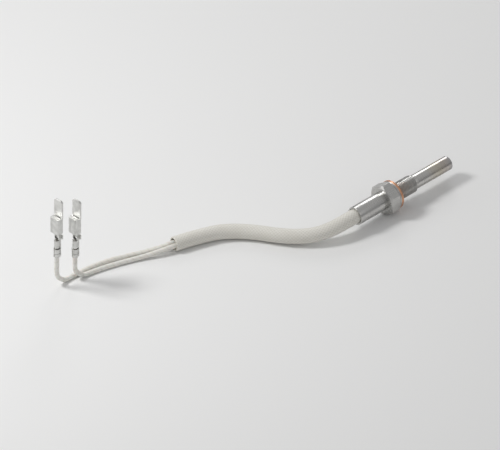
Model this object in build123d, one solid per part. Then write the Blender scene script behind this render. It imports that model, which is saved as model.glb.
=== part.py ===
from build123d import *
import math
import os

# Flame sensor probe: a screw-in resistance sensor with a short two-wire lead.
# Frame, mm: +X along the probe's axis towards its hot tip, +Z up.
# Origin: on the axis, at the sealing face where the exposed thread starts.
# The probe lies on a level surface on one corner of its hexagon, and so do
# its sleeve and leads; both lead ends are bent up to carry a tab terminal.

# ---------------------------------------------------------------- dimensions
HEX_AF = 13.0            # spanner size
HEX_REAR = -7.4          # hexagon, rear face
HEX_FRONT = -1.85        # hexagon, shoulder under the washers
CHAMFER_R = 6.15         # radius of the hexagon's end chamfer at its faces
WASHER_T = 0.65          # plain washer thickness
WASHER_R = 6.55
WASHER_BORE_R = 4.2
SEAL_T = 1.2             # copper sealing ring thickness
SEAL_R = 6.7
SEAL_BORE_R = 4.1
THREAD_R = 4.0           # M8 thread, nominal cylinder
THREAD_END = 11.3
THREAD_CHAMFER = 0.4
RELIEF_R = 3.65          # thread relief behind the sealing face
BODY_BORE_R = 2.6
SPIGOT_R = 3.55          # rear spigot that the barrel is pressed on
SPIGOT_END = -11.3
BARREL_R = 4.25
BARREL_END = -23.8

ROD_R = 3.25             # hot end of the sheath
ROD_TIP = 33.4
ROD_BORE_R = 2.75
TIP_WALL = 0.8
NECK_BORE_R = 2.1        # necked rear part of the sheath
NECK_END = -9.5
ROD_BORE_START = 12.6

INSULATOR_R = 1.9        # twin-bore ceramic
INSULATOR_BORE_R = 0.3
INSULATOR_X = (-8.0, 24.5)
ELEMENT_Y = 0.9          # element leads, each side of the axis
ELEMENT_LEAD_R = 0.2
CHIP_X = (27.0, 31.0)
CHIP_W = 2.6
CHIP_T = 0.9
BEAD_X = (26.1, 27.0)

FERRULE_X = (-17.2, -12.8)
FERRULE_R = 0.95
SPLICE_TUBE_X = (-17.7, -12.3)
SPLICE_TUBE_R = 1.25
POTTING_END = -18.95

SLEEVE_R = 3.35          # glass-fibre sleeve
SLEEVE_BORE_R = 2.7
SLEEVE_START = -19.0
LEAD_R = 1.1             # lead insulation
CONDUCTOR_R = 0.6
LEAD_Y = 1.3             # half the spacing of the leads inside the sleeve
LEAD_START = -17.8
CONDUCTOR_START = -15.2

TAB_W = 4.8              # 4.8 x 0.8 blade
TAB_T = 0.8
SHEET = 0.4              # terminal sheet

# Routes, mm: points joined by runs, each corner rounded by a tangent arc.
SLEEVE_ROUTE = [
    (-19.0, 0.0, 0.0), (-27.0, 0.0, 0.0), (-36.2, 1.55, -1.45), (-43.2, 5.1, -2.9),
    (-49.0, 10.35, -3.45), (-53.9, 17.15, -3.8), (-58.1, 25.2, -4.1), (-63.4, 32.2, -4.13),
    (-70.05, 37.85, -4.13), (-77.9, 41.0, -4.13), (-84.6, 43.35, -4.13), (-90.2, 44.95, -4.13),
]
LEAD_A_TAIL = [
    (-95.5, 47.95, -4.75), (-100.7, 51.1, -5.75), (-106.9, 54.5, -6.38), (-113.9, 57.5, -6.38),
    (-121.1, 59.75, -6.38), (-128.8, 60.9, -6.38), (-135.8, 61.42, -6.38), (-141.05, 61.5, -6.38),
    (-145.5, 61.8, -2.2), (-145.25, 61.75, 5.2), (-145.25, 61.75, 12.6),
]
LEAD_B_TAIL = [
    (-96.6, 45.85, -4.75), (-101.9, 48.4, -5.75), (-108.0, 51.3, -6.38), (-114.8, 53.9, -6.38),
    (-121.6, 56.1, -6.38), (-127.4, 57.55, -6.38), (-132.65, 58.45, -6.38),
    (-136.5, 59.65, -2.6), (-136.25, 59.55, 3.3), (-136.25, 59.55, 9.15),
]
TERMINAL_A = (-145.25, 61.75, 0.0)
TERMINAL_B = (-136.25, 59.55, -3.45)

os.makedirs("parts", exist_ok=True)


# ------------------------------------------------------------------- helpers
def rod(x0, x1, r, y=0.0, z=0.0):
    """A cylinder along X."""
    return Pos((x0 + x1) / 2, y, z) * Rot(0, 90, 0) * Cylinder(r, x1 - x0)


def cone(x0, x1, r0, r1):
    """A cone along X, radius r0 at x0 and r1 at x1."""
    return Pos((x0 + x1) / 2, 0, 0) * Rot(0, 90, 0) * Cone(r0, r1, x1 - x0)


def block(x0, x1, y0, y1, z0, z1):
    return Pos((x0 + x1) / 2, (y0 + y1) / 2, (z0 + z1) / 2) * Box(x1 - x0, y1 - y0, z1 - z0)


def offset_route(route, side):
    """The route moved sideways in plan by side, with mitred corners."""
    out = []
    for i, p in enumerate(route):
        dirs = []
        for j, k in ((i - 1, i), (i, i + 1)):
            if j >= 0 and k < len(route):
                dx, dy = route[k][0] - route[j][0], route[k][1] - route[j][1]
                n = math.hypot(dx, dy)
                dirs.append((dx / n, dy / n))
        nx, ny = sum(d[1] for d in dirs), -sum(d[0] for d in dirs)
        n = math.hypot(nx, ny)
        c = 1.0
        if len(dirs) == 2:
            c = math.sqrt((dirs[0][0] * dirs[1][0] + dirs[0][1] * dirs[1][1] + 1) / 2)
        out.append((round(p[0] + nx / n * side / c, 2), round(p[1] + ny / n * side / c, 2), p[2]))
    return out


def corner_radii(route):
    out = []
    for a, b, c in zip(route, route[1:], route[2:]):
        u, v = Vector(*b) - Vector(*a), Vector(*c) - Vector(*b)
        turn = math.radians(u.get_angle(v))
        out.append(0.45 * min(u.length, v.length) / math.tan(turn / 2))
    return out


def tube(route, radii, r, bore=0.0):
    """A tube along the route, its arcs tangent to its runs."""
    path = FilletPolyline(*route, radius=radii)
    start = Plane(origin=path @ 0, z_dir=path % 0)
    outer = sweep(start * Circle(r), path=path)
    shape = outer
    if bore:
        shape = outer - sweep(start * Circle(bore), path=path)
    area = math.pi * (r * r - bore * bore)
    solid = shape.solids()[0]
    print(f"  length {path.length:.1f} mm, volume / (section x length) {solid.volume / (area * path.length):.4f}")
    return solid


def save(name, shape, colour):
    solids = shape.solids()
    print(f"{name}: {len(solids)} solid, {sum(s.volume for s in solids):.2f} mm3")
    out = solids[0] if len(solids) == 1 else Compound(children=list(solids))
    out.label = name
    out.color = Color(*colour)
    export_step(out, f"parts/{name}.step")
    return out


STEEL = (0.72, 0.72, 0.70)
COPPER = (0.78, 0.46, 0.30)
CERAMIC = (0.93, 0.92, 0.88)
WHITE = (0.90, 0.89, 0.85)
TIN = (0.80, 0.80, 0.78)

# --------------------------------------------------------------- sensor body
corner_r = HEX_AF / 2 / math.cos(math.pi / 6)
hex_face = Plane(origin=(HEX_REAR, 0, 0), x_dir=(0, 1, 0), z_dir=(1, 0, 0))
hexagon = extrude(hex_face * RegularPolygon(corner_r, 6, rotation=30), HEX_FRONT - HEX_REAR)
bevel = (corner_r + 0.2 - CHAMFER_R) * math.tan(math.radians(30))
envelope = (
    cone(HEX_REAR, HEX_REAR + bevel, CHAMFER_R, corner_r + 0.2)
    + rod(HEX_REAR + bevel, HEX_FRONT - bevel, corner_r + 0.2)
    + cone(HEX_FRONT - bevel, HEX_FRONT, corner_r + 0.2, CHAMFER_R)
)
body = hexagon & envelope
body = body + rod(SPIGOT_END, HEX_REAR + 0.5, SPIGOT_R)
body = body + rod(HEX_FRONT - 0.5, 0.0, RELIEF_R)
body = body + rod(0.0, THREAD_END - THREAD_CHAMFER, THREAD_R)
body = body + cone(THREAD_END - THREAD_CHAMFER, THREAD_END, THREAD_R, THREAD_R - THREAD_CHAMFER)
body = body - rod(SPIGOT_END - 1, THREAD_END + 1, BODY_BORE_R)
save("sensor_body", body, STEEL)

# -------------------------------------------------------------- probe sheath
edge = 0.55
sheath = rod(THREAD_END, ROD_TIP - edge, ROD_R) + cone(ROD_TIP - edge, ROD_TIP, ROD_R, ROD_R - edge * 0.7)
sheath = sheath + rod(NECK_END, THREAD_END + 0.2, BODY_BORE_R)
sheath = sheath - rod(ROD_BORE_START, ROD_TIP - TIP_WALL, ROD_BORE_R)
sheath = sheath - rod(NECK_END - 1, ROD_BORE_START + 0.5, NECK_BORE_R)
save("probe_sheath", sheath, STEEL)

# ------------------------------------------------------------------- washers
washer = rod(HEX_FRONT, HEX_FRONT + WASHER_T, WASHER_R) - rod(HEX_FRONT - 1, 1, WASHER_BORE_R)
save("flat_washer", washer, STEEL)
seal = rod(-SEAL_T, 0.0, SEAL_R) - rod(-SEAL_T - 1, 1, SEAL_BORE_R)
seal = fillet(seal.edges().filter_by(GeomType.CIRCLE).sort_by(SortBy.RADIUS)[-2:], 0.3)
save("seal_washer", seal, COPPER)

# -------------------------------------------------------------------- barrel
barrel = rod(BARREL_END, HEX_REAR, BARREL_R) - rod(BARREL_END - 1, HEX_REAR + 1, SPIGOT_R)
save("rear_barrel", barrel, STEEL)

# ----------------------------------------------------------- sensing element
insulator = rod(*INSULATOR_X, INSULATOR_R)
for s in (1, -1):
    insulator = insulator - rod(INSULATOR_X[0] - 1, INSULATOR_X[1] + 1, INSULATOR_BORE_R, s * ELEMENT_Y)
save("ceramic_insulator", insulator, CERAMIC)

chip = block(*CHIP_X, -CHIP_W / 2, CHIP_W / 2, -CHIP_T / 2, CHIP_T / 2)
save("sensing_chip", chip, CERAMIC)

element_leads = {}
for tag, s in (("a", 1), ("b", -1)):
    element_leads[tag] = rod(FERRULE_X[0] + 2.2, CHIP_X[0], ELEMENT_LEAD_R, s * ELEMENT_Y)
    save(f"element_lead_{tag}", element_leads[tag], TIN)

bead = block(*BEAD_X, -CHIP_W / 2, CHIP_W / 2, -0.4, 0.4)
for s in (1, -1):
    bead = bead - rod(BEAD_X[0] - 1, BEAD_X[1] + 1, ELEMENT_LEAD_R, s * ELEMENT_Y)
save("chip_bead", bead, (0.55, 0.60, 0.70))

fill = rod(INSULATOR_X[1], ROD_TIP - TIP_WALL, ROD_BORE_R) - chip
fill = fill - block(*BEAD_X, -CHIP_W / 2, CHIP_W / 2, -0.4, 0.4)
for s in (1, -1):
    fill = fill - rod(INSULATOR_X[1] - 1, BEAD_X[0] + 0.1, ELEMENT_LEAD_R, s * ELEMENT_Y)
save("tip_fill", fill, CERAMIC)

neck_seal = rod(NECK_END, INSULATOR_X[0], NECK_BORE_R)
for s in (1, -1):
    neck_seal = neck_seal - rod(NECK_END - 1, INSULATOR_X[0] + 1, ELEMENT_LEAD_R, s * ELEMENT_Y)
save("neck_seal", neck_seal, (0.35, 0.45, 0.55))

# ------------------------------------------------------------------- splices
potting = rod(SPIGOT_END, NECK_END, BODY_BORE_R) + rod(POTTING_END, SPIGOT_END, SPIGOT_R)
for tag, s in (("a", 1), ("b", -1)):
    y = s * LEAD_Y
    ferrule = rod(*FERRULE_X, FERRULE_R, y) - rod(FERRULE_X[0] - 1, FERRULE_X[1] + 1, CONDUCTOR_R, y)
    save(f"splice_ferrule_{tag}", ferrule, TIN)
    cover = rod(*SPLICE_TUBE_X, SPLICE_TUBE_R, y) - rod(SPLICE_TUBE_X[0] - 1, SPLICE_TUBE_X[1] + 1, FERRULE_R, y)
    save(f"splice_tube_{tag}", cover, WHITE)
    potting = potting - rod(*SPLICE_TUBE_X, SPLICE_TUBE_R, y)
    potting = potting - rod(POTTING_END - 1, LEAD_START, LEAD_R, y)
    potting = potting - rod(LEAD_START - 0.1, SPLICE_TUBE_X[0] + 0.1, CONDUCTOR_R, y)
    potting = potting - rod(SPLICE_TUBE_X[1] - 0.1, NECK_END + 1, ELEMENT_LEAD_R, s * ELEMENT_Y)
save("barrel_potting", potting, (0.25, 0.22, 0.20))

# ---------------------------------------------------------- sleeve and leads
print("sleeve radii", [round(r, 1) for r in corner_radii(SLEEVE_ROUTE)])
save("outer_sleeve", tube(SLEEVE_ROUTE, corner_radii(SLEEVE_ROUTE), SLEEVE_R, SLEEVE_BORE_R), WHITE)

for tag, side, tail, terminal in (("a", LEAD_Y, LEAD_A_TAIL, TERMINAL_A), ("b", -LEAD_Y, LEAD_B_TAIL, TERMINAL_B)):
    route = offset_route(SLEEVE_ROUTE, side)
    route[0] = (LEAD_START, route[0][1], 0.0)
    route = route + tail
    radii = corner_radii(route)
    print(f"lead {tag} route", route)
    print(f"lead {tag} radii", [round(r, 1) for r in radii])
    save(f"lead_{tag}_jacket", tube(route, radii, LEAD_R, CONDUCTOR_R), WHITE)
    core = [(CONDUCTOR_START, route[0][1], 0.0)] + route[1:-1] + [(route[-1][0], route[-1][1], terminal[2] + 17.2)]
    save(f"lead_{tag}_conductor", tube(core, radii, CONDUCTOR_R), TIN)


# ----------------------------------------------------------------- terminals
def terminal():
    """A stamped tab terminal standing on Z: crimps, box and 4.8 x 0.8 blade."""
    back = 1.5                                   # outer face of the back wall
    strip = block(back - SHEET, back, -1.1, 1.1, 8.66, 21.8)
    # insulation crimp: two wings wrapped round the jacket, with a seam
    wrap = Pos(0, 0, (8.66 + 12.9) / 2) * (Cylinder(1.5, 12.9 - 8.66) - Cylinder(LEAD_R + 0.01, 6))
    wrap = wrap - Pos(0, 0, 9.06) * Cone(1.25, LEAD_R, 0.8)
    wrap = wrap - block(-2, -0.9, -0.12, 0.12, 8, 14)
    wrap = wrap - Pos(0, 0, 10.5) * (Cylinder(1.7, 0.45) - Cylinder(1.3, 0.45))
    # conductor crimp, pressed into a double lobe over the strands
    press = Pos(0, 0, (13.4 + 17.3) / 2) * Cylinder(1.25, 17.3 - 13.4)
    press = press + block(0.2, back, -1.1, 1.1, 13.4, 17.3)
    press = press - Pos(-1.35, 0, 15.35) * Rot(0, 0, 45) * Box(0.55, 0.55, 5)
    press = press - Pos(0, 0, 15.35) * Cylinder(CONDUCTOR_R, 5)
    # neck channel
    neck = block(-0.2, back, -1.3, 1.3, 17.3, 21.8) - block(-2, back - SHEET, -0.9, 0.9, 17.0, 22)
    neck = neck - Pos(-0.2, 0, 17.3) * Rot(0, 45, 0) * Box(1.0, 4, 1.0)
    # stiffening rib pressed forward out of the strip, hollow behind
    neck = neck + block(0.4, back, -1.0, 1.0, 18.3, 21.6)
    # retaining ears on the strip
    ears = block(back - SHEET, back, -2.35, 2.35, 18.1, 20.4)
    # box with a closed top flap
    shell = block(-1.8, back, -2.4, 2.4, 21.4, 29.3)
    shell = fillet(shell.edges().filter_by(Axis.Z), 0.35)
    shell = shell - block(-1.8 + SHEET, back - SHEET, -2.4 + SHEET, 2.4 - SHEET, 20, 28.9)
    shell = shell - block(0.45, 0.7, -1.9, 1.9, 28, 30)
    shell = shell - block(-2, -1, 1.15, 1.3, 21, 28.9)
    # blade with a bevelled, tapered point
    half = TAB_W / 2
    outline = Polyline((-half, 28.9), (half, 28.9), (half, 37.3), (half - 0.95, 38.2), (-half + 0.95, 38.2), (-half, 37.3), close=True)
    face = Plane(origin=(back - TAB_T, 0, 0), x_dir=(0, 1, 0), z_dir=(1, 0, 0)) * make_face(outline)
    blade = extrude(face, TAB_T)
    for x, a in ((back - TAB_T, 1), (back, -1)):
        blade = blade - Pos(x, 0, 38.45) * Rot(0, a * 25, 0) * Box(0.5, 8, 1.6)
    blade = blade - block(back - 0.12, back + 1, -0.07, 0.07, 29.5, 37.4)
    body = strip + wrap + press + neck + ears + shell + blade
    return body - block(0.8, back + 1, -0.5, 0.5, 18.7, 21.0)


one = terminal()
for tag, place in (("a", TERMINAL_A), ("b", TERMINAL_B)):
    save(f"terminal_{tag}", Pos(*place) * one, TIN)
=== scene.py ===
import math
import bpy
import bmesh
import numpy as np
from mathutils import Vector, Matrix


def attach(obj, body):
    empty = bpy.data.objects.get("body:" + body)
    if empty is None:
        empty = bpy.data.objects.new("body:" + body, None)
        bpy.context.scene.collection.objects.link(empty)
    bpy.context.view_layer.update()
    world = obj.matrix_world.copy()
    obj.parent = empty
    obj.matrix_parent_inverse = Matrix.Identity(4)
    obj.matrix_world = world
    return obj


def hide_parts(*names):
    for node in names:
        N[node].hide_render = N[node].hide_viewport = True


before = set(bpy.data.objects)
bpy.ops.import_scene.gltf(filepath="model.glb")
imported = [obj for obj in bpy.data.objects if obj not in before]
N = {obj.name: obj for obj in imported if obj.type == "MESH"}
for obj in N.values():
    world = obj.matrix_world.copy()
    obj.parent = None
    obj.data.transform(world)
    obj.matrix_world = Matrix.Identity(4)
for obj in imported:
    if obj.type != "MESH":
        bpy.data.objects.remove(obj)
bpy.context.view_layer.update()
MM = 0.001
HEX_AF = 13.0
FLOOR = -HEX_AF / 2 / math.cos(math.pi / 6)

# ------------------------------------------------------------------ the camera
AZ, EL = math.radians(-45.0), math.asin(1 / math.sqrt(3))
PX_PER_MM = 2.3
target = Vector((-60.68, 27.56, 0.0)) * MM
back = Vector((math.sin(AZ) * math.cos(EL), -math.cos(AZ) * math.cos(EL), math.sin(EL)))
cam_data = bpy.data.cameras.new("camera")
cam_data.type = "ORTHO"
cam_data.ortho_scale = 500 / PX_PER_MM * MM
cam_data.clip_start = 0.01
cam_data.clip_end = 10
cam = bpy.data.objects.new("camera", cam_data)
cam.location = target + back * 0.6
cam.rotation_euler = back.to_track_quat("Z", "Y").to_euler()
bpy.context.scene.collection.objects.link(cam)
bpy.context.scene.camera = cam
bpy.context.view_layer.update()

# ------------------------------------------------------------------- the cords
SLEEVE = [
    (-19.0, 0.0, 0.0), (-27.0, 0.0, 0.0), (-36.2, 1.55, -1.45), (-43.2, 5.1, -2.9),
    (-49.0, 10.35, -3.45), (-53.9, 17.15, -3.8), (-58.1, 25.2, -4.1), (-63.4, 32.2, -4.13),
    (-70.05, 37.85, -4.13), (-77.9, 41.0, -4.13), (-84.6, 43.35, -4.13), (-90.2, 44.95, -4.13),
]
LEAD_A = [
    (-17.8, 1.3, 0.0), (-26.89, 1.3, 0.0), (-35.79, 2.8, -1.45), (-42.46, 6.18, -2.9),
    (-48.03, 11.22, -3.45), (-52.79, 17.83, -3.8), (-57.0, 25.9, -4.1), (-62.45, 33.1, -4.13),
    (-69.37, 38.98, -4.13), (-77.44, 42.22, -4.13), (-84.21, 44.59, -4.13), (-89.84, 46.2, -4.13),
    (-95.5, 47.95, -4.75), (-100.7, 51.1, -5.75), (-106.9, 54.5, -6.38), (-113.9, 57.5, -6.38),
    (-121.1, 59.75, -6.38), (-128.8, 60.9, -6.38), (-135.8, 61.42, -6.38), (-141.05, 61.5, -6.38),
    (-145.5, 61.8, -2.2), (-145.25, 61.75, 5.2), (-145.25, 61.75, 12.6),
]
LEAD_B = [
    (-17.8, -1.3, 0.0), (-27.11, -1.3, 0.0), (-36.61, 0.3, -1.45), (-43.94, 4.02, -2.9),
    (-49.97, 9.48, -3.45), (-55.01, 16.47, -3.8), (-59.2, 24.5, -4.1), (-64.35, 31.3, -4.13),
    (-70.73, 36.72, -4.13), (-78.36, 39.78, -4.13), (-84.99, 42.11, -4.13), (-90.56, 43.7, -4.13),
    (-96.6, 45.85, -4.75), (-101.9, 48.4, -5.75), (-108.0, 51.3, -6.38), (-114.8, 53.9, -6.38),
    (-121.6, 56.1, -6.38), (-127.4, 57.55, -6.38), (-132.65, 58.45, -6.38),
    (-136.5, 59.65, -2.6), (-136.25, 59.55, 3.3), (-136.25, 59.55, 9.15),
]


def spline_curve(name, route, resolution=16):
    """A NURBS curve whose control points are the route."""
    data = bpy.data.curves.new(name, "CURVE")
    data.dimensions = "3D"
    data.resolution_u = resolution
    s = data.splines.new("NURBS")
    s.points.add(len(route) - 1)
    for p, q in zip(s.points, route):
        p.co = (q[0] * MM, q[1] * MM, q[2] * MM, 1.0)
    s.order_u = 3
    s.use_endpoint_u = True
    obj = bpy.data.objects.new(name, data)
    bpy.context.scene.collection.objects.link(obj)
    return obj


def read_path(name, route, resolution=16):
    """The points that the route's NURBS line follows."""
    obj = spline_curve(name + "_line", route, resolution)
    bpy.context.view_layer.update()
    mesh = bpy.data.meshes.new_from_object(obj)
    pts = np.array([v.co[:] for v in mesh.vertices])
    bpy.data.meshes.remove(mesh)
    data = obj.data
    bpy.data.objects.remove(obj)
    bpy.data.curves.remove(data)
    return pts


def resample(pts, step):
    seg = np.linalg.norm(np.diff(pts, axis=0), axis=1)
    s = np.concatenate([[0], np.cumsum(seg)])
    n = max(2, int(round(s[-1] / step)) + 1)
    t = np.linspace(0, s[-1], n)
    return np.stack([np.interp(t, s, pts[:, i]) for i in range(3)], 1), t


def transport(pts):
    """Tangent, normal and binormal along a path, without twist."""
    tan = np.gradient(pts, axis=0)
    tan /= np.linalg.norm(tan, axis=1)[:, None]
    up = np.array([0, 0, 1.0])
    nor = np.zeros_like(pts)
    n = up - tan[0] * (up @ tan[0])
    nor[0] = n / np.linalg.norm(n)
    for i in range(1, len(pts)):
        n = nor[i - 1] - tan[i] * (nor[i - 1] @ tan[i])
        nor[i] = n / np.linalg.norm(n)
    return tan, nor, np.cross(tan, nor)


# ------------------------------------------------------------------- mesh work
def finish_mesh(name, verts, faces, sharp=32, attrs=None):
    me = bpy.data.meshes.new(name)
    me.from_pydata([tuple(v) for v in verts], [], faces)
    me.validate()
    bm = bmesh.new()
    bm.from_mesh(me)
    bmesh.ops.recalc_face_normals(bm, faces=bm.faces)
    lim = math.radians(sharp)
    for f in bm.faces:
        f.smooth = True
    for e in bm.edges:
        if len(e.link_faces) == 2 and e.calc_face_angle(0) > lim:
            e.smooth = False
    bm.to_mesh(me)
    bm.free()
    for key, values in (attrs or {}).items():
        a = me.attributes.new(key, "FLOAT", "POINT")
        a.data.foreach_set("value", np.asarray(values, np.float32))
    obj = bpy.data.objects.new(name, me)
    bpy.context.scene.collection.objects.link(obj)
    return obj


def lathe(name, rings, segments=144, extra=(), sharp=32):
    """A closed ring of profile points turned about X. Each point is (x, r) in mm or a
    function of the angle that gives one; the last joins the first."""
    ang = sorted(set([round(i * 360 / segments, 4) for i in range(segments)] + [round(a % 360, 4) for a in extra]))
    th = [math.radians(a) for a in ang]
    m = len(th)
    verts, faces = [], []
    for r in rings:
        for t in th:
            x, rad = r(t) if callable(r) else r
            verts.append((x * MM, rad * math.cos(t) * MM, rad * math.sin(t) * MM))
    k = len(rings)
    for i in range(k):
        j = (i + 1) % k
        for a in range(m):
            b = (a + 1) % m
            faces.append((i * m + a, i * m + b, j * m + b, j * m + a))
    return finish_mesh(name, verts, faces, sharp)


def round_corner(x0, r0, x1, r1, x2, r2, rad, n=4):
    """Points of a small arc in place of the profile corner (x1, r1)."""
    a, b, c = np.array([x0, r0]), np.array([x1, r1]), np.array([x2, r2])
    u, v = (a - b) / np.linalg.norm(a - b), (c - b) / np.linalg.norm(c - b)
    half = math.acos(max(-1, min(1, float(u @ v)))) / 2
    d = min(rad / math.tan(half), 0.45 * np.linalg.norm(a - b), 0.45 * np.linalg.norm(c - b))
    p, q = b + u * d, b + v * d
    out = []
    for i in range(n + 1):
        t = i / n
        out.append(tuple((1 - t) ** 2 * p + 2 * t * (1 - t) * b + t * t * q))
    return out


def rounded(profile, radii, n=4):
    """A closed profile with each corner rounded by its own radius."""
    out, k = [], len(profile)
    for i, (p, r) in enumerate(zip(profile, radii)):
        if r <= 0:
            out.append(p)
        else:
            a, c = profile[i - 1], profile[(i + 1) % k]
            out += round_corner(*a, *p, *c, r, n)
    return out


# ------------------------------------------------------------------- materials
def new_mat(name):
    m = bpy.data.materials.new(name)
    m.use_nodes = True
    nt = m.node_tree
    bsdf = nt.nodes["Principled BSDF"]
    return m, nt, bsdf


def add(nt, kind, **props):
    n = nt.nodes.new(kind)
    for k, v in props.items():
        setattr(n, k, v)
    return n


def mapping(nt, scale, source="Object"):
    tc = add(nt, "ShaderNodeTexCoord")
    mp = add(nt, "ShaderNodeMapping")
    mp.inputs["Scale"].default_value = scale
    nt.links.new(tc.outputs[source], mp.inputs["Vector"])
    return mp.outputs["Vector"]


def noise(nt, vec, scale, detail=4, rough=0.5):
    n = add(nt, "ShaderNodeTexNoise")
    n.inputs["Scale"].default_value = scale
    n.inputs["Detail"].default_value = detail
    n.inputs["Roughness"].default_value = rough
    if vec is not None:
        nt.links.new(vec, n.inputs["Vector"])
    return n.outputs["Fac"]


def ramp(nt, fac, stops):
    r = add(nt, "ShaderNodeValToRGB")
    el = r.color_ramp.elements
    while len(el) < len(stops):
        el.new(0.5)
    for e, (p, c) in zip(el, stops):
        e.position = p
        e.color = (*c, 1) if len(c) == 3 else c
    nt.links.new(fac, r.inputs["Fac"])
    return r.outputs["Color"]


def rng(nt, fac, lo, hi, a=0.0, b=1.0):
    r = add(nt, "ShaderNodeMapRange")
    r.inputs["From Min"].default_value = a
    r.inputs["From Max"].default_value = b
    r.inputs["To Min"].default_value = lo
    r.inputs["To Max"].default_value = hi
    nt.links.new(fac, r.inputs["Value"])
    return r.outputs["Result"]


def bump(nt, height, strength, distance, bsdf):
    b = add(nt, "ShaderNodeBump")
    b.inputs["Strength"].default_value = strength
    b.inputs["Distance"].default_value = distance
    nt.links.new(height, b.inputs["Height"])
    nt.links.new(b.outputs["Normal"], bsdf.inputs["Normal"])


def mix_rgb(nt, fac, a, b, blend="MIX"):
    m = add(nt, "ShaderNodeMix", data_type="RGBA", blend_type=blend)
    if hasattr(fac, "links") or not isinstance(fac, float):
        nt.links.new(fac, m.inputs[0])
    else:
        m.inputs[0].default_value = fac
    for sock, v in ((m.inputs[6], a), (m.inputs[7], b)):
        if isinstance(v, tuple):
            sock.default_value = (*v, 1)
        else:
            nt.links.new(v, sock)
    return m.outputs[2]


def turned_steel(name, base=(0.60, 0.595, 0.58), dark=(0.44, 0.435, 0.42), rough=(0.22, 0.38), rings=5200, grain=0.25, heat=None):
    """Turned or drawn steel: fine rings round X, faint blotches, an optional heat tint along X."""
    m, nt, bsdf = new_mat(name)
    lines = noise(nt, mapping(nt, (rings, 40, 40)), 1.0, 3, 0.6)
    blot = noise(nt, mapping(nt, (260, 260, 260)), 1.0, 5, 0.6)
    col = ramp(nt, lines, [(0.3, dark), (0.7, base)])
    col = mix_rgb(nt, rng(nt, blot, 0.0, 0.55, 0.45, 0.75), col, dark)
    if heat:
        tc = add(nt, "ShaderNodeTexCoord")
        sep = add(nt, "ShaderNodeSeparateXYZ")
        nt.links.new(tc.outputs["Object"], sep.inputs[0])
        wob = noise(nt, mapping(nt, (300, 300, 300)), 1.0, 2, 0.5)
        x = add(nt, "ShaderNodeMath", operation="ADD")
        nt.links.new(sep.outputs["X"], x.inputs[0])
        nt.links.new(rng(nt, wob, -0.0022, 0.0022), x.inputs[1])
        t = rng(nt, x.outputs[0], 0.0, 1.0, heat[0], heat[1])
        tint = ramp(nt, t, [(0.0, (1, 1, 1)), (0.45, (0.98, 0.93, 0.82)), (0.75, (0.90, 0.84, 0.80)), (1.0, (0.86, 0.87, 0.92))])
        col = mix_rgb(nt, 1.0, col, tint, "MULTIPLY")
    nt.links.new(col, bsdf.inputs["Base Color"])
    bsdf.inputs["Metallic"].default_value = 1.0
    nt.links.new(rng(nt, blot, rough[0], rough[1], 0.3, 0.7), bsdf.inputs["Roughness"])
    bump(nt, lines, grain, 0.00002, bsdf)
    return m


def stamped(name, base, dark, rough=(0.25, 0.45), grain=0.2, scale=900):
    """Rolled and stamped sheet: long fine grain, small smudges."""
    m, nt, bsdf = new_mat(name)
    fine = noise(nt, mapping(nt, (scale * 3, scale * 3, scale * 0.35)), 1.0, 3, 0.6)
    blot = noise(nt, mapping(nt, (420, 420, 420)), 1.0, 4, 0.6)
    col = ramp(nt, blot, [(0.3, base), (0.75, dark)])
    nt.links.new(col, bsdf.inputs["Base Color"])
    bsdf.inputs["Metallic"].default_value = 1.0
    nt.links.new(rng(nt, fine, rough[0], rough[1], 0.3, 0.7), bsdf.inputs["Roughness"])
    bump(nt, fine, grain, 0.00002, bsdf)
    return m


def matt(name, a, b, rough=0.7, scale=600, depth=0.3, metallic=0.0, coat=0.0):
    m, nt, bsdf = new_mat(name)
    n = noise(nt, mapping(nt, (scale, scale, scale)), 1.0, 5, 0.6)
    nt.links.new(ramp(nt, n, [(0.3, a), (0.7, b)]), bsdf.inputs["Base Color"])
    nt.links.new(rng(nt, n, rough - 0.07, rough + 0.07), bsdf.inputs["Roughness"])
    bsdf.inputs["Metallic"].default_value = metallic
    bsdf.inputs["Coat Weight"].default_value = coat
    bump(nt, n, depth, 0.00003, bsdf)
    return m


def drawn_bar():
    """The flats of cold-drawn hexagon bar: fine straight lines along X, a few deeper ones."""
    m, nt, bsdf = new_mat("hexagon_flats")
    fine = noise(nt, mapping(nt, (45, 5200, 5200)), 1.0, 3, 0.6)
    wide = noise(nt, mapping(nt, (30, 900, 900)), 1.0, 3, 0.6)
    blot = noise(nt, mapping(nt, (300, 300, 300)), 1.0, 5, 0.6)
    col = ramp(nt, fine, [(0.3, (0.50, 0.495, 0.48)), (0.7, (0.63, 0.625, 0.61))])
    col = mix_rgb(nt, rng(nt, blot, 0.0, 0.4, 0.45, 0.75), col, (0.46, 0.455, 0.44))
    nt.links.new(col, bsdf.inputs["Base Color"])
    bsdf.inputs["Metallic"].default_value = 1.0
    nt.links.new(rng(nt, wide, 0.24, 0.40, 0.3, 0.7), bsdf.inputs["Roughness"])
    bump(nt, fine, 0.18, 0.00002, bsdf)
    return m


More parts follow.
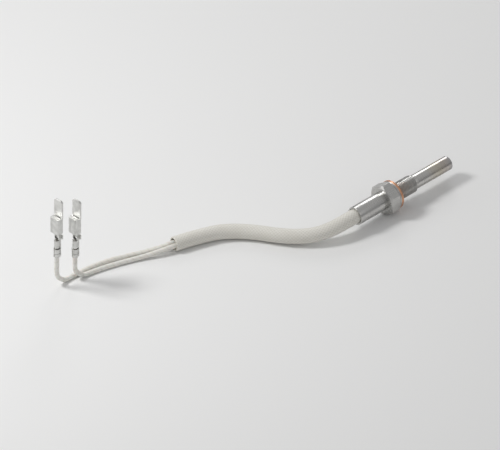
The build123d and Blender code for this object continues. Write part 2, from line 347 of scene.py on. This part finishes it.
M_FLATS = drawn_bar()
M_BODY = turned_steel("body_steel", rings=2600, grain=0.2)
M_SHEATH = turned_steel("sheath_steel", base=(0.66, 0.65, 0.63), dark=(0.50, 0.49, 0.47), rough=(0.18, 0.34), rings=4200, grain=0.15, heat=(0.018, 0.0334))
M_BARREL = turned_steel("barrel_steel", base=(0.64, 0.635, 0.62), dark=(0.50, 0.495, 0.48), rough=(0.22, 0.36), rings=3600, grain=0.2)
M_WASHER = stamped("washer_steel", (0.60, 0.60, 0.59), (0.46, 0.46, 0.45))
M_COPPER = stamped("seal_copper", (0.80, 0.46, 0.30), (0.58, 0.29, 0.17), rough=(0.28, 0.5), scale=700)
M_TIN = stamped("terminal_tin", (0.74, 0.74, 0.72), (0.54, 0.54, 0.52), rough=(0.26, 0.44), grain=0.09)
M_STRAND = stamped("strand_nickel", (0.72, 0.70, 0.66), (0.55, 0.53, 0.49), rough=(0.2, 0.35))
M_CERAMIC = matt("alumina", (0.90, 0.89, 0.84), (0.95, 0.94, 0.91), 0.65)
M_CEMENT = matt("cement", (0.80, 0.77, 0.69), (0.90, 0.88, 0.82), 0.85, 900, 0.6)
M_BEAD = matt("bead_glass", (0.36, 0.44, 0.56), (0.44, 0.52, 0.63), 0.2, 300, 0.05, coat=0.5)
M_SEALGLASS = matt("seal_glass", (0.24, 0.32, 0.38), (0.30, 0.39, 0.46), 0.2, 300, 0.05, coat=0.5)
M_POTTING = matt("potting_resin", (0.11, 0.095, 0.085), (0.16, 0.14, 0.13), 0.5, 300, 0.2)
M_TUBE = matt("splice_tube", (0.86, 0.84, 0.78), (0.92, 0.90, 0.85), 0.4, 300, 0.1)


YARNS = 14                     # yarns each way round the sleeve
PITCH = 1.55                   # mm along the sleeve per yarn


def jacket_material():
    """Wrapped and sintered insulation: off white, a faint helix of the tape, light soiling."""
    m, nt, bsdf = new_mat("lead_jacket")
    n = noise(nt, mapping(nt, (260, 260, 260)), 1.0, 4, 0.6)
    fine = noise(nt, mapping(nt, (2600, 2600, 2600)), 1.0, 2, 0.5)
    tape = add(nt, "ShaderNodeAttribute", attribute_name="tape")
    col = ramp(nt, n, [(0.3, (0.86, 0.845, 0.80)), (0.7, (0.77, 0.75, 0.69))])
    col = mix_rgb(nt, rng(nt, tape.outputs["Fac"], 0.0, 0.45), col, (0.66, 0.635, 0.57))
    nt.links.new(col, bsdf.inputs["Base Color"])
    nt.links.new(rng(nt, tape.outputs["Fac"], 0.36, 0.55), bsdf.inputs["Roughness"])
    bsdf.inputs["Coat Weight"].default_value = 0.15
    bsdf.inputs["Subsurface Weight"].default_value = 0.05
    bsdf.inputs["Subsurface Scale"].default_value = 0.0005
    bump(nt, fine, 0.25, 0.00003, bsdf)
    return m


def sleeve_material():
    """Braided glass fibre under silicone varnish. The braid's relief is in the mesh; the colour follows it as painted
    shade, darker between the yarns, and as a painted highlight, lighter on their crowns. The filaments run along each
    yarn, so their lines change direction at every crossing."""
    m, nt, bsdf = new_mat("glass_sleeve")
    at = add(nt, "ShaderNodeAttribute", attribute_name="braid")
    yarn = add(nt, "ShaderNodeAttribute", attribute_name="yarn")
    top = add(nt, "ShaderNodeAttribute", attribute_name="top")
    uv = add(nt, "ShaderNodeUVMap", uv_map="wrap")
    lines = []
    for sign in (1, -1):
        dot = add(nt, "ShaderNodeVectorMath", operation="DOT_PRODUCT")
        nt.links.new(uv.outputs["UV"], dot.inputs[0])
        dot.inputs[1].default_value = (YARNS * 7 * 2 * math.pi, sign * 7 * 2 * math.pi, 0)
        sn = add(nt, "ShaderNodeMath", operation="SINE")
        nt.links.new(dot.outputs["Value"], sn.inputs[0])
        lines.append(sn.outputs[0])
    pick = add(nt, "ShaderNodeMix", data_type="FLOAT")
    nt.links.new(top.outputs["Fac"], pick.inputs[0])
    nt.links.new(lines[1], pick.inputs[2])
    nt.links.new(lines[0], pick.inputs[3])
    fil = rng(nt, pick.outputs[0], 0.0, 1.0, -1.0, 1.0)
    n = noise(nt, mapping(nt, (160, 160, 160)), 1.0, 5, 0.6)
    fine = noise(nt, mapping(nt, (3600, 3600, 3600)), 1.0, 2, 0.5)
    # painted shade and highlight: the ramp on the relief height paints the valleys between the yarns dark and their
    # crowns light
    col = ramp(nt, at.outputs["Fac"], [(0.1, (0.36, 0.335, 0.28)), (0.5, (0.70, 0.68, 0.62)), (0.95, (0.83, 0.815, 0.765))])
    col = mix_rgb(nt, rng(nt, n, 0.0, 0.35, 0.45, 0.8), col, (0.62, 0.59, 0.51))
    col = mix_rgb(nt, rng(nt, yarn.outputs["Fac"], 0.0, 0.3), col, (0.70, 0.675, 0.61))
    col = mix_rgb(nt, rng(nt, fil, 0.22, 0.0), col, (0.50, 0.47, 0.40))
    nt.links.new(col, bsdf.inputs["Base Color"])
    nt.links.new(rng(nt, at.outputs["Fac"], 0.62, 0.40), bsdf.inputs["Roughness"])
    bsdf.inputs["Coat Weight"].default_value = 0.15
    bsdf.inputs["Coat Roughness"].default_value = 0.32
    bsdf.inputs["Sheen Weight"].default_value = 0.1
    both = add(nt, "ShaderNodeMath", operation="ADD")
    nt.links.new(rng(nt, fil, 0.0, 0.75), both.inputs[0])
    nt.links.new(rng(nt, fine, 0.0, 0.25), both.inputs[1])
    bump(nt, both.outputs[0], 0.5, 0.00003, bsdf)
    return m


M_JACKET = jacket_material()
M_SLEEVE = sleeve_material()


def paint(obj, mat):
    obj.data.materials.clear()
    obj.data.materials.append(mat)


# ------------------------------------------------------------------ the sleeve
SLEEVE_R, SLEEVE_BORE, RELIEF = 3.35, 2.7, 0.12
sleeve_pts = read_path("sleeve", SLEEVE)
pts, dist = resample(sleeve_pts, 0.2 * MM)
tan, nor, bin_ = transport(pts)
SEG = 140
theta = np.linspace(0, 2 * np.pi, SEG, endpoint=False)
verts, braid, yarn, over = [], [], [], []
end_len = dist[-1] / MM
rng_np = np.random.default_rng(7)
tone_a, tone_b = rng_np.random(YARNS), rng_np.random(YARNS)
for i, p in enumerate(pts):
    u = dist[i] / MM
    a = YARNS * theta / (2 * np.pi) + u / PITCH
    b = YARNS * theta / (2 * np.pi) - u / PITCH
    sa, sb = np.sin(np.pi * a), np.sin(np.pi * b)
    t = np.tanh(4 * np.sin(np.pi * (a + 0.0)) * np.sin(np.pi * (b + 0.0)))
    h = np.sqrt(np.abs(sa)) * (0.5 + 0.5 * t) + np.sqrt(np.abs(sb)) * (0.5 - 0.5 * t)
    top_a = t > 0
    tone = np.where(top_a, tone_a[np.floor(a).astype(int) % YARNS], tone_b[np.floor(b).astype(int) % YARNS])
    r = (SLEEVE_R - RELIEF + RELIEF * h) * MM
    # rounded lip at the cut end
    lip = end_len - u
    if lip < 0.3:
        r = r - (0.3 - math.sqrt(max(0.0, 0.09 - (0.3 - lip) ** 2))) * 0.5 * MM
    for k in range(SEG):
        verts.append(p + (nor[i] * math.cos(theta[k]) + bin_[i] * math.sin(theta[k])) * r[k])
    # the relief height also drives the sleeve's roughness and its painted shade and highlight
    braid += list(h)
    yarn += list(tone)
    over += list(top_a.astype(float))
rings_out = len(pts)
# inner wall, coarser, from the cut end back into the sleeve
inner_ids = list(range(rings_out - 1, -1, -8))
if inner_ids[-1] != 0:
    inner_ids.append(0)
for i in inner_ids:
    u = dist[i] / MM
    r = SLEEVE_BORE * MM
    for k in range(SEG):
        verts.append(pts[i] + (nor[i] * math.cos(theta[k]) + bin_[i] * math.sin(theta[k])) * r)
        braid.append(0.45)
        yarn.append(0.5)
        over.append(0.5)
total = rings_out + len(inner_ids)
faces = []
for i in range(total):
    j = (i + 1) % total
    for k in range(SEG):
        l = (k + 1) % SEG
        faces.append((i * SEG + k, i * SEG + l, j * SEG + l, j * SEG + k))
sleeve = finish_mesh("glass_sleeve", verts, faces, 50, {"braid": braid, "yarn": yarn, "top": over})
along = np.concatenate([dist / MM, [dist[i] / MM for i in inner_ids]])
uv = sleeve.data.uv_layers.new(name="wrap")
for poly in sleeve.data.polygons:
    cols = [sleeve.data.loops[li].vertex_index % SEG for li in poly.loop_indices]
    wraps = max(cols) - min(cols) > SEG // 2
    for li, c in zip(poly.loop_indices, cols):
        row = sleeve.data.loops[li].vertex_index // SEG
        uv.data[li].uv = ((c + (SEG if wraps and c < SEG // 2 else 0)) / SEG, along[row] / PITCH)
paint(sleeve, M_SLEEVE)
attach(sleeve, "probe")
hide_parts("outer_sleeve")

# ------------------------------------------------------------------- the leads
JACKET_R, CORE_R = 1.1, 0.62


def lead(tag, route, terminal):
    line = read_path("lead_" + tag, route)
    p, d = resample(line, 0.35 * MM)
    tan, nor, bi = transport(p)
    seg = 40
    th = np.linspace(0, 2 * np.pi, seg, endpoint=False)
    verts, band = [], []
    total_len = d[-1] / MM
    n = len(p)
    for i in range(n):
        u = d[i] / MM
        lap = (0.5 + 0.5 * np.sin(th - 2 * np.pi * u / 3.2)) ** 8
        tape = 0.012 * (2 * lap - 1)
        band += list(lap)
        end = total_len - u
        r = JACKET_R - 0.012 + tape
        if end < 0.15:
            r = r - (0.15 - end) * 0.5
        for k in range(seg):
            verts.append(p[i] + (nor[i] * math.cos(th[k]) + bi[i] * math.sin(th[k])) * (r[k] * MM))
    inner = list(range(n - 1, -1, -2))
    if inner[-1] != 0:
        inner.append(0)
    for i in inner:
        band += [0.0] * seg
        for k in range(seg):
            verts.append(p[i] + (nor[i] * math.cos(th[k]) + bi[i] * math.sin(th[k])) * (CORE_R * MM))
    tot = n + len(inner)
    faces = []
    for i in range(tot):
        j = (i + 1) % tot
        for k in range(seg):
            l = (k + 1) % seg
            faces.append((i * seg + k, i * seg + l, j * seg + l, j * seg + k))
    obj = finish_mesh("lead_jacket_" + tag, verts, faces, 50, {"tape": band})
    paint(obj, M_JACKET)
    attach(obj, "probe")
    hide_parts(f"lead_{tag}_jacket")

    # seven strands from the splice along the whole bore, then bare up through the conductor crimp
    x, y = route[-1][0], route[-1][1]
    bore, _ = resample(line, 0.6 * MM)
    bare = [(x * MM, y * MM, z * MM) for z in np.linspace(route[-1][2] + 0.2, terminal[2] + 17.95, 24)]
    spliced = [(q * MM, route[0][1] * MM, 0.0) for q in np.linspace(-15.2, route[0][0] + 0.3, 8)]
    axis = np.vstack([spliced, bore, bare])
    along = np.concatenate([[0], np.cumsum(np.linalg.norm(np.diff(axis, axis=0), axis=1))]) / MM
    tan, nor, bi = transport(axis)
    verts, faces = [], []
    seg2, rr = 10, 0.19
    centres = [(0, 0)] + [(0.39 * math.cos(math.radians(60 * q)), 0.39 * math.sin(math.radians(60 * q))) for q in range(6)]
    for c, (cx, cy) in enumerate(centres):
        m = len(axis) - (c * 5) % 4
        base = len(verts)
        for i in range(m):
            w = along[i] * 0.16
            ax = cx * math.cos(w) - cy * math.sin(w)
            ay = cx * math.sin(w) + cy * math.cos(w)
            for k in range(seg2):
                a = 2 * math.pi * k / seg2
                verts.append(axis[i] + (nor[i] * (ax + rr * math.cos(a)) + bi[i] * (ay + rr * math.sin(a))) * MM)
        for i in range(m - 1):
            for k in range(seg2):
                l = (k + 1) % seg2
                faces.append((base + i * seg2 + k, base + i * seg2 + l, base + (i + 1) * seg2 + l, base + (i + 1) * seg2 + k))
        faces.append(tuple(base + k for k in range(seg2)))
        faces.append(tuple(base + (m - 1) * seg2 + k for k in range(seg2)))
    strands = finish_mesh("strands_" + tag, verts, faces, 50)
    paint(strands, M_STRAND)
    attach(strands, "probe")
    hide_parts(f"lead_{tag}_conductor")
    return obj


lead("a", LEAD_A, (-145.25, 61.75, 0.0))
lead("b", LEAD_B, (-136.25, 59.55, -3.45))

# --------------------------------------------------------------- sensor body
AF2 = HEX_AF / 2
CORNER = AF2 / math.cos(math.pi / 6)
HEX_REAR, HEX_FRONT = -7.4, -1.85
CH_R = 6.15
ROUND = 0.28


def hex_r(t):
    """Radius of the hexagon's outline at an angle, its corners slightly rounded."""
    a = math.degrees(t) % 60
    phi = math.radians(a - 30)                 # corners at 30, 90, 150 ...
    flat = AF2 / math.cos(math.radians(30) - abs(phi))
    dc = CORNER - ROUND / math.cos(math.radians(30))
    s = dc * math.sin(phi)
    if abs(s) < ROUND:
        arc = dc * math.cos(phi) + math.sqrt(ROUND * ROUND - s * s)
        if arc < flat and abs(phi) < math.radians(1.4):
            return arc
    return flat


T30 = math.tan(math.radians(30))


def rear_chamfer(f):
    return lambda t: (HEX_REAR + (CH_R + (hex_r(t) - CH_R) * f - CH_R) * T30 + 0.0, CH_R + (hex_r(t) - CH_R) * f)


def front_chamfer(f):
    return lambda t: (HEX_FRONT - (CH_R + (hex_r(t) - CH_R) * f - CH_R) * T30, CH_R + (hex_r(t) - CH_R) * f)


THREAD_R, PITCH_T, DEPTH = 4.0, 0.75, 0.42


def thread_ring(x):
    def f(t):
        ph = (x / PITCH_T - t / (2 * math.pi)) % 1.0
        tri = abs(ph - 0.5) * 2                  # 0 at the crest, 1 at the root
        v = min(1.0, max(0.0, (tri - 0.12) / 0.76))
        grow = min(1.0, max(0.0, (x - 0.35) / 0.9))  # run-in at the seat
        r = THREAD_R - DEPTH * v * grow
        cap = THREAD_R - max(0.0, x - 10.75) * 0.9   # entry chamfer
        return (x, min(r, cap))
    return f


rings = [(-11.3, 2.6), (-11.3, 3.45), (-11.2, 3.55), (HEX_REAR, 3.55), (HEX_REAR, CH_R - 0.02), (HEX_REAR + 0.005, CH_R)]
rings += [rear_chamfer(0.5), rear_chamfer(0.97), rear_chamfer(1.0)]
rings += [lambda t: (HEX_REAR + (hex_r(t) - CH_R) * T30 + 0.06, hex_r(t))]
for k in range(1, 6):
    rings += [lambda t, k=k: (HEX_REAR + (hex_r(t) - CH_R) * T30 + 0.06 + k / 6 * (HEX_FRONT - HEX_REAR - 2 * (hex_r(t) - CH_R) * T30 - 0.12), hex_r(t))]
rings += [lambda t: (HEX_FRONT - (hex_r(t) - CH_R) * T30 - 0.06, hex_r(t))]
rings += [front_chamfer(1.0), front_chamfer(0.97), front_chamfer(0.5)]
rings += [(HEX_FRONT - 0.005, CH_R), (HEX_FRONT, CH_R - 0.02), (HEX_FRONT, 3.75), (HEX_FRONT + 0.1, 3.65), (-0.25, 3.65), (0.0, 3.9)]
xs = np.arange(0.05, 11.24, PITCH_T / 9)
rings += [thread_ring(float(x)) for x in xs]
rings += [(11.3, 3.5), (11.3, 2.6)]
corner_extra = []
for c in range(30, 390, 60):
    corner_extra += [c - 1.4, c - 1.0, c - 0.6, c - 0.3, c, c + 0.3, c + 0.6, c + 1.0, c + 1.4]
body = lathe("sensor_body_turned", rings, 144, corner_extra, sharp=24)
paint(body, M_BODY)
body.data.materials.append(M_FLATS)
for poly in body.data.polygons:
    c, n = poly.center, poly.normal
    if HEX_REAR * MM < c.x < HEX_FRONT * MM and abs(n.x) < 0.1 and math.hypot(c.y, c.z) > 6.2 * MM:
        poly.material_index = 1
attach(body, "probe")
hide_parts("sensor_body")

# -------------------------------------------------------------------- sheath
outer = [(-9.5, 2.1), (-9.5, 2.58), (-9.4, 2.6), (11.3, 2.6), (11.3, 3.18), (11.42, 3.25)]
outer += [(x, 3.25) for x in np.linspace(12.5, 32.6, 14)]
R_TIP = 0.55
for k in range(1, 9):
    a = math.radians(90 * k / 8)
    outer.append((33.4 - R_TIP + R_TIP * math.sin(a), 3.25 - R_TIP + R_TIP * math.cos(a)))
# a shallow dished end, as a spun and welded cap leaves
outer += [(33.4, 2.2), (33.39, 1.4), (33.37, 0.7), (33.36, 0.02)]
inner = [(32.6, 0.02), (32.6, 2.6), (32.5, 2.75), (12.6, 2.75), (12.6, 2.1)]
sheath = lathe("probe_sheath_drawn", outer + inner, 144, (), sharp=40)
paint(sheath, M_SHEATH)
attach(sheath, "probe")
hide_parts("probe_sheath")

# -------------------------------------------------------------------- barrel
prof = [(-23.8, 3.55), (-23.8, 4.25), (-7.4, 4.25), (-7.4, 3.55)]
barrel = lathe("rear_barrel_turned", rounded(prof, [0.12, 0.22, 0.06, 0.0], 4), 144, (), sharp=40)
paint(barrel, M_BARREL)
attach(barrel, "probe")
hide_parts("rear_barrel")

# ------------------------------------------------------------------- washers
prof = [(-1.85, 4.2), (-1.85, 6.55), (-1.2, 6.55), (-1.2, 4.2)]
washer = lathe("flat_washer_stamped", rounded(prof, [0.06, 0.16, 0.05, 0.06], 3), 144, (), sharp=40)
paint(washer, M_WASHER)
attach(washer, "washer")
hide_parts("flat_washer")

# the sealing ring is folded copper: a rounded rim with a closed seam line on its outer face
prof = [(-1.2, 4.1), (-1.2, 6.7), (0.0, 6.7), (0.0, 5.55), (-0.09, 5.5), (0.0, 5.45), (0.0, 4.1)]
seal = lathe("seal_ring_folded", rounded(prof, [0.25, 0.42, 0.42, 0.02, 0.02, 0.02, 0.25], 5), 144, (), sharp=40)
paint(seal, M_COPPER)
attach(seal, "seal")
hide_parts("seal_washer")

# ----------------------------------------------- CAD pieces that stay as made
for node, mat in {
    "ceramic_insulator": M_CERAMIC, "sensing_chip": M_CERAMIC, "element_lead_a": M_STRAND, "element_lead_b": M_STRAND,
    "chip_bead": M_BEAD, "tip_fill": M_CEMENT, "neck_seal": M_SEALGLASS, "splice_ferrule_a": M_STRAND,
    "splice_ferrule_b": M_STRAND, "splice_tube_a": M_TUBE, "splice_tube_b": M_TUBE, "barrel_potting": M_POTTING,
    "terminal_a": M_TIN, "terminal_b": M_TIN,
}.items():
    paint(N[node], mat)
for tag in "ab":
    o = N["terminal_" + tag]
    dm = o.modifiers.new("flat", "DECIMATE")
    dm.decimate_type = "DISSOLVE"
    dm.angle_limit = math.radians(0.6)
    bv = o.modifiers.new("edge", "BEVEL")
    bv.width = 0.00005
    bv.segments = 2
    bv.limit_method = "ANGLE"
    bv.angle_limit = math.radians(50)

# --------------------------------------------------------- floor, light, world
size = 1.6
fm = bpy.data.meshes.new("floor")
fm.from_pydata([(-size, -size, FLOOR * MM), (size, -size, FLOOR * MM), (size, size, FLOOR * MM), (-size, size, FLOOR * MM)], [], [(0, 1, 2, 3)])
floor = bpy.data.objects.new("floor", fm)
bpy.context.scene.collection.objects.link(floor)
m, nt, bsdf = new_mat("floor_pale")
bsdf.inputs["Base Color"].default_value = (0.86, 0.86, 0.855, 1)
bsdf.inputs["Roughness"].default_value = 0.85
bsdf.inputs["Specular IOR Level"].default_value = 0.2
paint(floor, m)


def area(name, direction, distance, size, power, aim=(-0.055, 0.025, 0.0)):
    d = Vector(direction).normalized()
    light = bpy.data.lights.new(name, "AREA")
    light.shape = "DISK"
    light.size = size
    light.energy = power
    o = bpy.data.objects.new(name, light)
    o.location = Vector(aim) + d * distance
    o.rotation_euler = d.to_track_quat("Z", "Y").to_euler()
    bpy.context.scene.collection.objects.link(o)
    return o


area("key", (-0.75, 0.75, 1.25), 0.60, 0.16, 1.65)
area("fill", (0.2, -1.0, 0.7), 0.7, 0.5, 0.28)
area("rim", (1.0, 0.9, 0.8), 0.7, 0.25, 0.55)
area("side", (-0.85, 0.55, 0.2), 0.55, 0.22, 0.2)

world = bpy.data.worlds.new("world")
bpy.context.scene.world = world
world.use_nodes = True
wn = world.node_tree
bg = wn.nodes["Background"]
tc = wn.nodes.new("ShaderNodeTexCoord")
sep = wn.nodes.new("ShaderNodeSeparateXYZ")
wn.links.new(tc.outputs["Generated"], sep.inputs[0])
r = wn.nodes.new("ShaderNodeValToRGB")
e = r.color_ramp.elements
e[0].position, e[0].color = 0.0, (0.34, 0.34, 0.35, 1)
e[1].position, e[1].color = 0.75, (1.0, 1.0, 1.0, 1)
mid = e.new(0.22)
mid.color = (0.62, 0.62, 0.63, 1)
wn.links.new(sep.outputs["Z"], r.inputs["Fac"])
wn.links.new(r.outputs["Color"], bg.inputs["Color"])
bg.inputs["Strength"].default_value = 0.47

sc = bpy.context.scene
sc.view_settings.view_transform = "Standard"
sc.view_settings.look = "None"
sc.view_settings.exposure = 0.0
